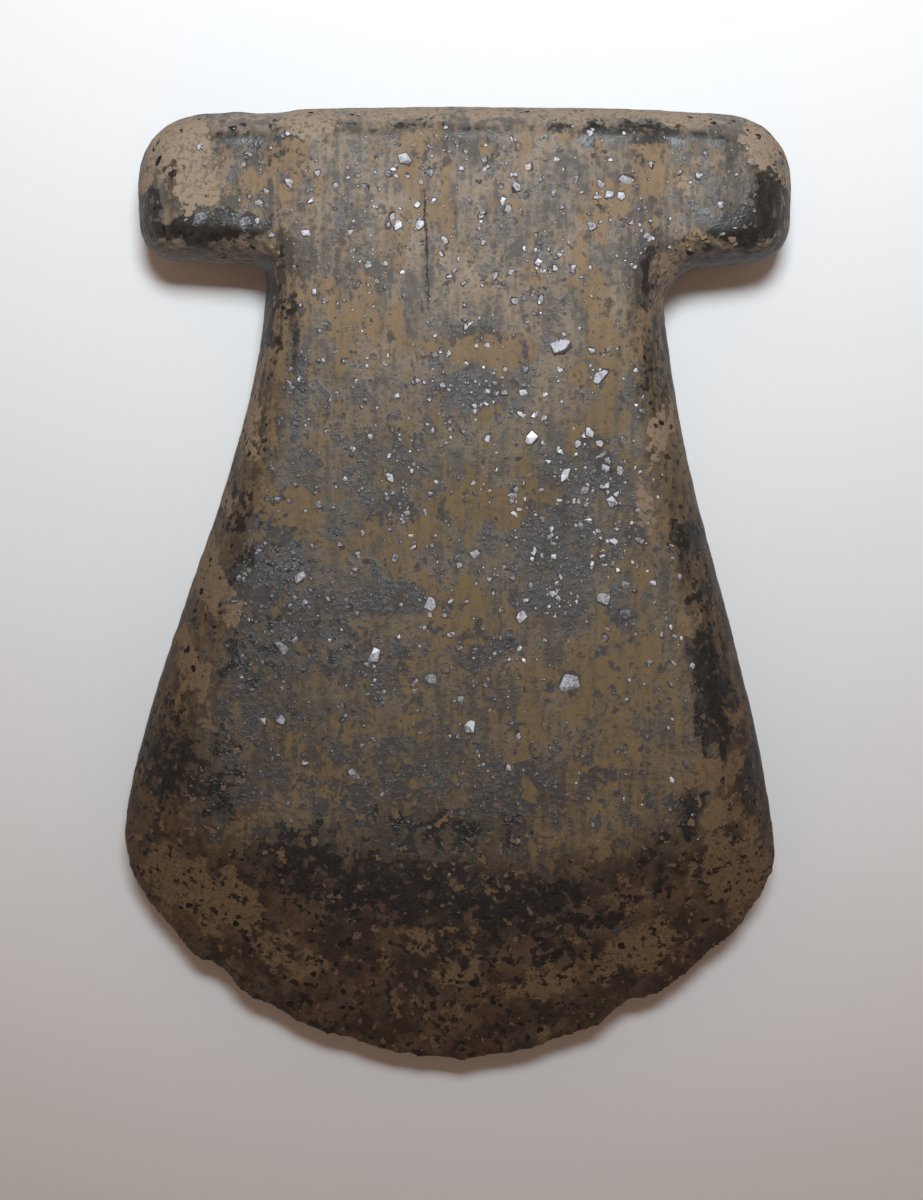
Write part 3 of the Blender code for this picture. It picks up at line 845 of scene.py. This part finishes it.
# %% The material of the grains
GLASS_DARK = colour(0.075, 0.078, 0.094)
GLASS_LIGHT = colour(0.66, 0.67, 0.72)
# Colours of the darker ring round each grain.
RING_DARK = colour(0.030, 0.025, 0.021)
RING_LIGHT = colour(0.070, 0.055, 0.042)
RING_TONE = -1.0

grain_finish, bench, shader = new_material("glassy_grains")
tone = bench.field("tone")
mottle = bench.grain(bench.millimetres(), 2.4, 3.0, 0.6)
# The light end of the grains' colour is partly painted glint, reached by tones that are higher where the
# highlight falls.
glass = bench.blend(bench.step(tone + mottle * 1.4, 0.1, 1.1), GLASS_DARK, GLASS_LIGHT)
ring_colour = bench.blend(bench.step(mottle, -0.15, 0.15), RING_DARK, RING_LIGHT)
is_glass = bench.step(tone, -0.6, -0.4)
bench.fill(shader["Base Color"], bench.blend(is_glass, ring_colour, glass))
bench.fill(shader["Roughness"], 0.62 - is_glass * 0.20 - tone * 0.08 + mottle * 0.3)
shader["Specular IOR Level"].default_value = 0.85
print("grain finish:", len(bench.tree.nodes), "nodes")


# %% Geometry Nodes that shape a grain on each point
def new_tree(name, inputs):
    """A Geometry Nodes tree with a geometry input and named number inputs."""
    tree = bpy.data.node_groups.new(name, "GeometryNodeTree")
    tree.interface.new_socket("Geometry", in_out="INPUT", socket_type="NodeSocketGeometry")
    tree.interface.new_socket("Geometry", in_out="OUTPUT", socket_type="NodeSocketGeometry")
    for title, kind, value in inputs:
        socket = tree.interface.new_socket(title, in_out="INPUT", socket_type=kind)
        socket.default_value = value
    return tree, Bench(tree), tree.nodes.new("NodeGroupInput"), tree.nodes.new("NodeGroupOutput")


def given(bench, group_input, title):
    return Wire(bench, group_input.outputs[title])


def carried(bench, name):
    """A number that each point carries, for Geometry Nodes."""
    return bench.node("GeometryNodeInputNamedAttribute", {"data_type": "FLOAT"}, {"Name": name})


def stored(bench, geometry, name, value):
    """The geometry with a number of that name on each point."""
    settings = {"data_type": "FLOAT", "domain": "POINT"}
    sockets = {"Geometry": geometry, "Name": name, "Value": value}
    return bench.node("GeometryNodeStoreNamedAttribute", settings, sockets)


def random_number(bench, low, high, seed):
    sockets = {2: low, 3: high, "Seed": seed}
    return bench.node("FunctionNodeRandomValue", {"data_type": "FLOAT"}, sockets, output=1)


def random_vector(bench, low, high, seed):
    sockets = {0: low, 1: high, "Seed": seed}
    return bench.node("FunctionNodeRandomValue", {"data_type": "FLOAT_VECTOR"}, sockets)


# %% A rough ball on each point
LEAST_SPIN, MOST_SPIN = (-0.25, -0.25, 0.0), (0.25, 0.25, 6.28)
LEAST_PUSH, MOST_PUSH = (-0.42, -0.42, -0.20), (0.42, 0.42, 0.20)


def shape_grains(bench, points, size, tone, turn, height, seed):
    """Instances a rough twenty-sided ball on each point, and makes it real and facetted."""
    toned = stored(bench, stored(bench, points, "size", size), "tone", tone)
    ball = bench.node("GeometryNodeMeshIcoSphere", {}, {"Radius": 1.0, "Subdivisions": 1})
    wide = random_number(bench, 0.62, 1.10, seed + 1)
    long = random_number(bench, 0.80, 1.45, seed + 2)
    scale = bench.node("ShaderNodeCombineXYZ", {}, {"X": size * wide, "Y": size * long, "Z": size * height})
    seats = {"Points": toned, "Instance": ball, "Rotation": turn, "Scale": scale}
    placed = bench.node("GeometryNodeInstanceOnPoints", {}, seats)
    spin = random_vector(bench, LEAST_SPIN, MOST_SPIN, seed + 3)
    spun = bench.node("GeometryNodeRotateInstances", {}, {"Instances": placed, "Rotation": spin})
    real = bench.node("GeometryNodeRealizeInstances", {}, {"Geometry": spun})
    push = random_vector(bench, LEAST_PUSH, MOST_PUSH, seed + 4)
    push_sockets = {0: push, "Scale": carried(bench, "size")}
    offset = bench.node("ShaderNodeVectorMath", {"operation": "SCALE"}, push_sockets)
    return bench.node("GeometryNodeSetPosition", {}, {"Geometry": real, "Offset": offset})


# %% A darker ring round each grain
RING_WIDTH = 0.07 * MM
RING_SHARE = 1.12
RING_HEIGHT = 0.42


def seated_grains(bench, points, size, tone, turn, height, seed):
    """Grains with a flat, darker ring round each, in their material."""
    both = bench.tree.nodes.new("GeometryNodeJoinGeometry")
    bench.fill(both.inputs[0], shape_grains(bench, points, size, tone, turn, height, seed))
    ring = size * RING_SHARE + RING_WIDTH
    bench.fill(both.inputs[0], shape_grains(bench, points, ring, RING_TONE, turn, height * RING_HEIGHT, seed))
    joined = Wire(bench, both.outputs[0])
    return bench.node("GeometryNodeSetMaterial", {}, {"Geometry": joined, "Material": grain_finish})


# %% Growing a tree on a host
def set_input(modifier, title, value):
    """Sets a modifier's input by its socket's identifier."""
    for item in modifier.node_group.interface.items_tree:
        if item.item_type == "SOCKET" and item.in_out == "INPUT" and item.name == title:
            modifier[item.identifier] = value


def grown(host, tree, settings, name):
    """The plain mesh that a tree makes on a host. The host and its modifier are removed."""
    modifier = host.modifiers.new(name, "NODES")
    modifier.node_group = tree
    for title, value in settings.items():
        set_input(modifier, title, value)
    return applied(host, name)


# %% Large grains, each in its place: across, along, half-width in millimetres, and brightness, which is partly painted glint
PLACED_GRAINS = (
    (15.1, 35.2, 1.3, 0.9), (21.0, 30.8, 1.0, 0.8), (24.9, 59.5, 1.0, 0.7), (9.5, 25.0, 0.7, 0.9),
    (10.7, 21.7, 0.9, 0.8), (19.5, 22.5, 0.7, 1.0), (21.0, 20.8, 0.7, 0.8), (15.8, 16.2, 0.9, 0.8),
    (16.6, -14.4, 1.5, 0.6), (21.4, -1.8, 1.0, 0.6), (24.6, -4.0, 1.3, 0.25), (2.6, 4.4, 1.0, 0.7),
    (9.2, -4.7, 0.9, 0.7), (-4.0, -2.9, 1.2, 0.75), (-23.1, 1.2, 0.9, 0.7), (-12.1, -10.3, 1.0, 0.6),
    (-3.7, -13.9, 1.2, 0.5), (-8.7, 52.9, 0.7, 0.8), (-5.5, 52.9, 0.7, 0.9), (-24.5, 59.0, 0.9, 0.6),
    (8.8, 58.4, 0.7, 0.6), (22.4, 57.3, 0.7, 0.6), (19.8, 52.7, 0.7, 0.6), (11.9, 47.4, 0.6, 0.8),
    (17.0, 46.5, 0.6, 0.7), (14.4, 46.5, 0.4, 0.8), (1.9, 56.5, 0.4, 0.5), (7.5, 55.3, 0.6, 0.7),
    (17.3, 59.7, 0.7, 0.5), (-4.0, 60.6, 0.6, 0.4), (-31.1, 53.3, 1.2, 0.35), (-37.7, 53.9, 1.0, 0.35),
    (-7.7, 62.4, 0.9, 0.35), (-13.5, 58.3, 0.7, 0.5), (-9.9, 60.2, 0.7, 0.4), (-21.3, 56.5, 0.6, 0.5),
    (-22.3, 51.7, 0.6, 0.8), (-15.7, 51.8, 0.4, 0.8), (-2.2, 29.4, 0.6, 0.5), (-3.7, 5.9, 0.4, 0.6),
    (-7.9, 9.3, 0.4, 0.5), (-5.5, -2.2, 0.4, 0.6), (-6.2, -15.4, 0.4, 0.4), (0.4, -16.9, 0.7, 0.35),
    (1.9, -20.6, 0.9, 0.4), (2.6, -14.4, 0.7, 0.3), (-15.0, -27.9, 0.9, 0.45), (-25.7, -9.2, 1.0, 0.5),
    (-26.0, -19.8, 0.9, 0.3), (-28.6, -19.8, 0.6, 0.4), (-22.3, -26.0, 0.6, 0.4),
    (12.2, 13.9, 0.4, 0.7), (21.7, 17.2, 0.6, 0.7), (23.9, 16.9, 0.6, 0.6), (15.1, 19.5, 0.6, 0.7),
    (17.4, 19.1, 0.4, 0.8), (18.8, 13.9, 0.6, 0.5), (15.1, 31.6, 0.4, 0.8), (12.9, 27.9, 0.4, 0.7),
    (13.3, 18.1, 0.4, 0.7), (11.4, 25.0, 0.4, 0.7), (24.6, 0.0, 0.7, 0.4), (22.9, 12.2, 0.9, 0.4),
    (26.8, 6.6, 0.6, 0.4), (-23.8, -8.1, 0.6, 0.5), (-18.7, -8.1, 0.4, 0.5), (-9.1, 3.7, 0.4, 0.5),
    (-15.0, 2.2, 0.4, 0.5), (-17.2, 5.9, 0.4, 0.4), (12.2, 59.5, 0.4, 0.5), (4.1, 62.4, 0.6, 0.4),
    (15.1, 63.9, 0.4, 0.3), (35.7, 60.2, 0.6, 0.9), (34.2, 59.2, 0.3, 0.8), (38.6, 55.8, 0.6, 0.5),
    (26.8, 52.9, 0.4, 0.6), (8.5, 41.8, 0.6, 0.6), (5.6, 45.5, 0.6, 0.5), (7.8, 46.0, 0.4, 0.7),
    (0.9, 44.3, 0.4, 0.6), (-0.3, 46.2, 0.4, 0.6), (4.5, 21.6, 0.6, 0.8), (-4.0, 27.2, 0.4, 0.5),
    (-8.4, 21.3, 0.4, 0.5), (-13.5, 27.2, 0.4, 0.5), (-16.5, 33.0, 0.4, 0.4), (-20.1, 37.4, 0.4, 0.5),
    (-19.4, 41.8, 0.4, 0.5), (6.3, -3.7, 0.4, 0.6), (12.9, -8.1, 0.4, 0.6),
)

spots, sizes, tones = [], [], []
for across, along, half_width, brightness in PLACED_GRAINS:
    spots.append(on_top(across, along) * MM)
    sizes.append(half_width * MM)
    tones.append(brightness)
spot_mesh = bpy.data.meshes.new("grain_spots")
spot_mesh.from_pydata(spots, [], [])
carry(spot_mesh, "placed_size", np.array(sizes))
carry(spot_mesh, "placed_tone", np.array(tones))
spot_host = new_object("grain_spots", spot_mesh)
print("grain spots:", len(spots))

# %% Grow the large grains
LARGE_HEIGHT = 0.42
LARGE_SEED = 3
UNTURNED = (0.0, 0.0, 0.0)

tree, bench, group_in, group_out = new_tree("placed_grains", (("Height", "NodeSocketFloat", LARGE_HEIGHT),))
points = bench.node("GeometryNodeMeshToPoints", {}, {"Mesh": given(bench, group_in, "Geometry")})
grains = seated_grains(
    bench,
    points,
    carried(bench, "placed_size"),
    carried(bench, "placed_tone"),
    UNTURNED,
    given(bench, group_in, "Height"),
    LARGE_SEED,
)
bench.fill(group_out.inputs["Geometry"], grains)
large_grains = grown(spot_host, tree, {"Height": LARGE_HEIGHT}, "large_grains")
print("large grains:", len(spots), "with", len(large_grains.data.polygons), "faces")

# %% Small grains, scattered over the face where the bare stone shows
places = read_points(stone.data) / MM
crowding = on_face * upper * (0.28 + 0.50 * fields["bare"]) * ramp(places[:, 1], -50.0, 55.0)
clusters = np.clip(0.75 + 1.3 * cloud(places, 3.5, 71.0), 0.05, 1.8)
crowding *= clusters * (1.0 - 0.7 * ramp(np.abs(places[:, 0]), 30.0, 6.0))
carry(stone.data, "crowding", crowding)
# Painted glint: the grains get lighter towards the upper right, where the lamp's highlight falls on the face.
carry(stone.data, "painted_glint", 0.40 + 0.60 * ramp(places[:, 0] + 0.5 * places[:, 1], -30.0, 45.0))
print("crowding at most:", round(float(crowding.max()), 2))

# %% Grow the small grains
GRAINS_PER_SQUARE_METRE = 1100000.0
SMALLEST, LARGEST = 0.12 * MM, 0.50 * MM
MOSTLY_SMALL = 2.4
SMALL_HEIGHT = 0.6
SMALL_SEED = 5
SIZE_SEED, SHINE_SEED, SHAPE_SEED = 11, 12, 20
FACES_PER_GRAIN = 40

tree, bench, group_in, group_out = new_tree(
    "scattered_grains",
    (
        ("Grains per square metre", "NodeSocketFloat", GRAINS_PER_SQUARE_METRE),
        ("Smallest", "NodeSocketFloat", SMALLEST),
        ("Largest", "NodeSocketFloat", LARGEST),
        ("Height", "NodeSocketFloat", SMALL_HEIGHT),
        ("Seed", "NodeSocketInt", SMALL_SEED),
    ),
)
scatter = bench.tree.nodes.new("GeometryNodeDistributePointsOnFaces")
bench.fill(scatter.inputs["Mesh"], given(bench, group_in, "Geometry"))
density = carried(bench, "crowding") * given(bench, group_in, "Grains per square metre")
bench.fill(scatter.inputs["Density"], density)
bench.fill(scatter.inputs["Seed"], given(bench, group_in, "Seed"))
smallest, largest = given(bench, group_in, "Smallest"), given(bench, group_in, "Largest")
size = smallest + (largest - smallest) * random_number(bench, 0.0, 1.0, SIZE_SEED) ** MOSTLY_SMALL
grains = seated_grains(
    bench,
    Wire(bench, scatter.outputs["Points"]),
    size,
    carried(bench, "painted_glint") * random_number(bench, 0.20, 1.0, SHINE_SEED),
    Wire(bench, scatter.outputs["Rotation"]),
    given(bench, group_in, "Height"),
    SHAPE_SEED,
)
bench.fill(group_out.inputs["Geometry"], grains)
scatter_host = new_object("scatter_host", stone.data.copy())
small_grains = grown(scatter_host, tree, {"Seed": SMALL_SEED}, "small_grains")
small_faces = len(small_grains.data.polygons)
print("small grains:", small_faces // FACES_PER_GRAIN, "with", small_faces, "faces")

# %% [markdown]
# ## Dried earth in the notches
# Crumbs of pale earth stayed where the lashing once ran, most of them in the right notch. They
# are soft lumps, so a finer ball is bent by noise and pressed flat.

# %% Finish of the crumbs
EARTH_DARK = colour(0.12, 0.085, 0.045)
EARTH_PALE = colour(0.34, 0.26, 0.15)
crumb_finish, bench, shader = new_material("dried_earth")
lumps = bench.grain(bench.millimetres(), 2.2, 4.0, 0.65)
bench.fill(shader["Base Color"], bench.blend(bench.step(lumps, -0.15, 0.15), EARTH_DARK, EARTH_PALE))
shader["Roughness"].default_value = 0.95
bump = bench.node("ShaderNodeBump", {}, {"Strength": 0.6, "Distance": 0.3 * MM, "Height": lumps})
bench.fill(shader["Normal"], bump)
print("crumb finish:", len(bench.tree.nodes), "nodes")

# %% Crumbs: across, along and radius in millimetres
CRUMBS = (
    (35.3, 51.7, 0.8), (36.2, 51.2, 0.6), (34.7, 50.9, 0.5), (36.9, 50.6, 0.4), (33.9, 50.1, 0.4),
    (34.4, 49.5, 0.4), (-26.3, 48.9, 0.4), (-27.2, 49.6, 0.35),
)
LUMPINESS = 0.42
LUMP_SCALE = 1.6
PRESSED = Vector((1.0, 0.8, 0.55))
heap = bmesh.new()
for number, (across, along, radius) in enumerate(CRUMBS):
    centre = on_top(across, along)
    apart = Vector((number * 9.0, 0.0, 0.0))
    lump = bmesh.ops.create_icosphere(heap, subdivisions=3, radius=radius)
    for vertex in lump["verts"]:
        swell = 1.0 + LUMPINESS * noise.noise(vertex.co * (LUMP_SCALE / radius) + apart)
        vertex.co = (vertex.co * PRESSED * swell + centre) * MM
crumb_mesh = bpy.data.meshes.new("earth_crumbs")
heap.to_mesh(crumb_mesh)
heap.free()
crumb_mesh.shade_smooth()
crumb_mesh.materials.append(crumb_finish)
crumbs = new_object("earth_crumbs", crumb_mesh)
print("crumbs:", len(CRUMBS))

# %% [markdown]
# ## Tie the pieces to the frame
# The remeshed stone stands for the plain solid, which stays behind it for weight and collision.
# The grains and crumbs sit on it and ride with it.

# %% Ride with the root, and hide the plain solid
for piece in (stone, large_grains, small_grains, crumbs):
    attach(piece, "root")
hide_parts("axe_head")
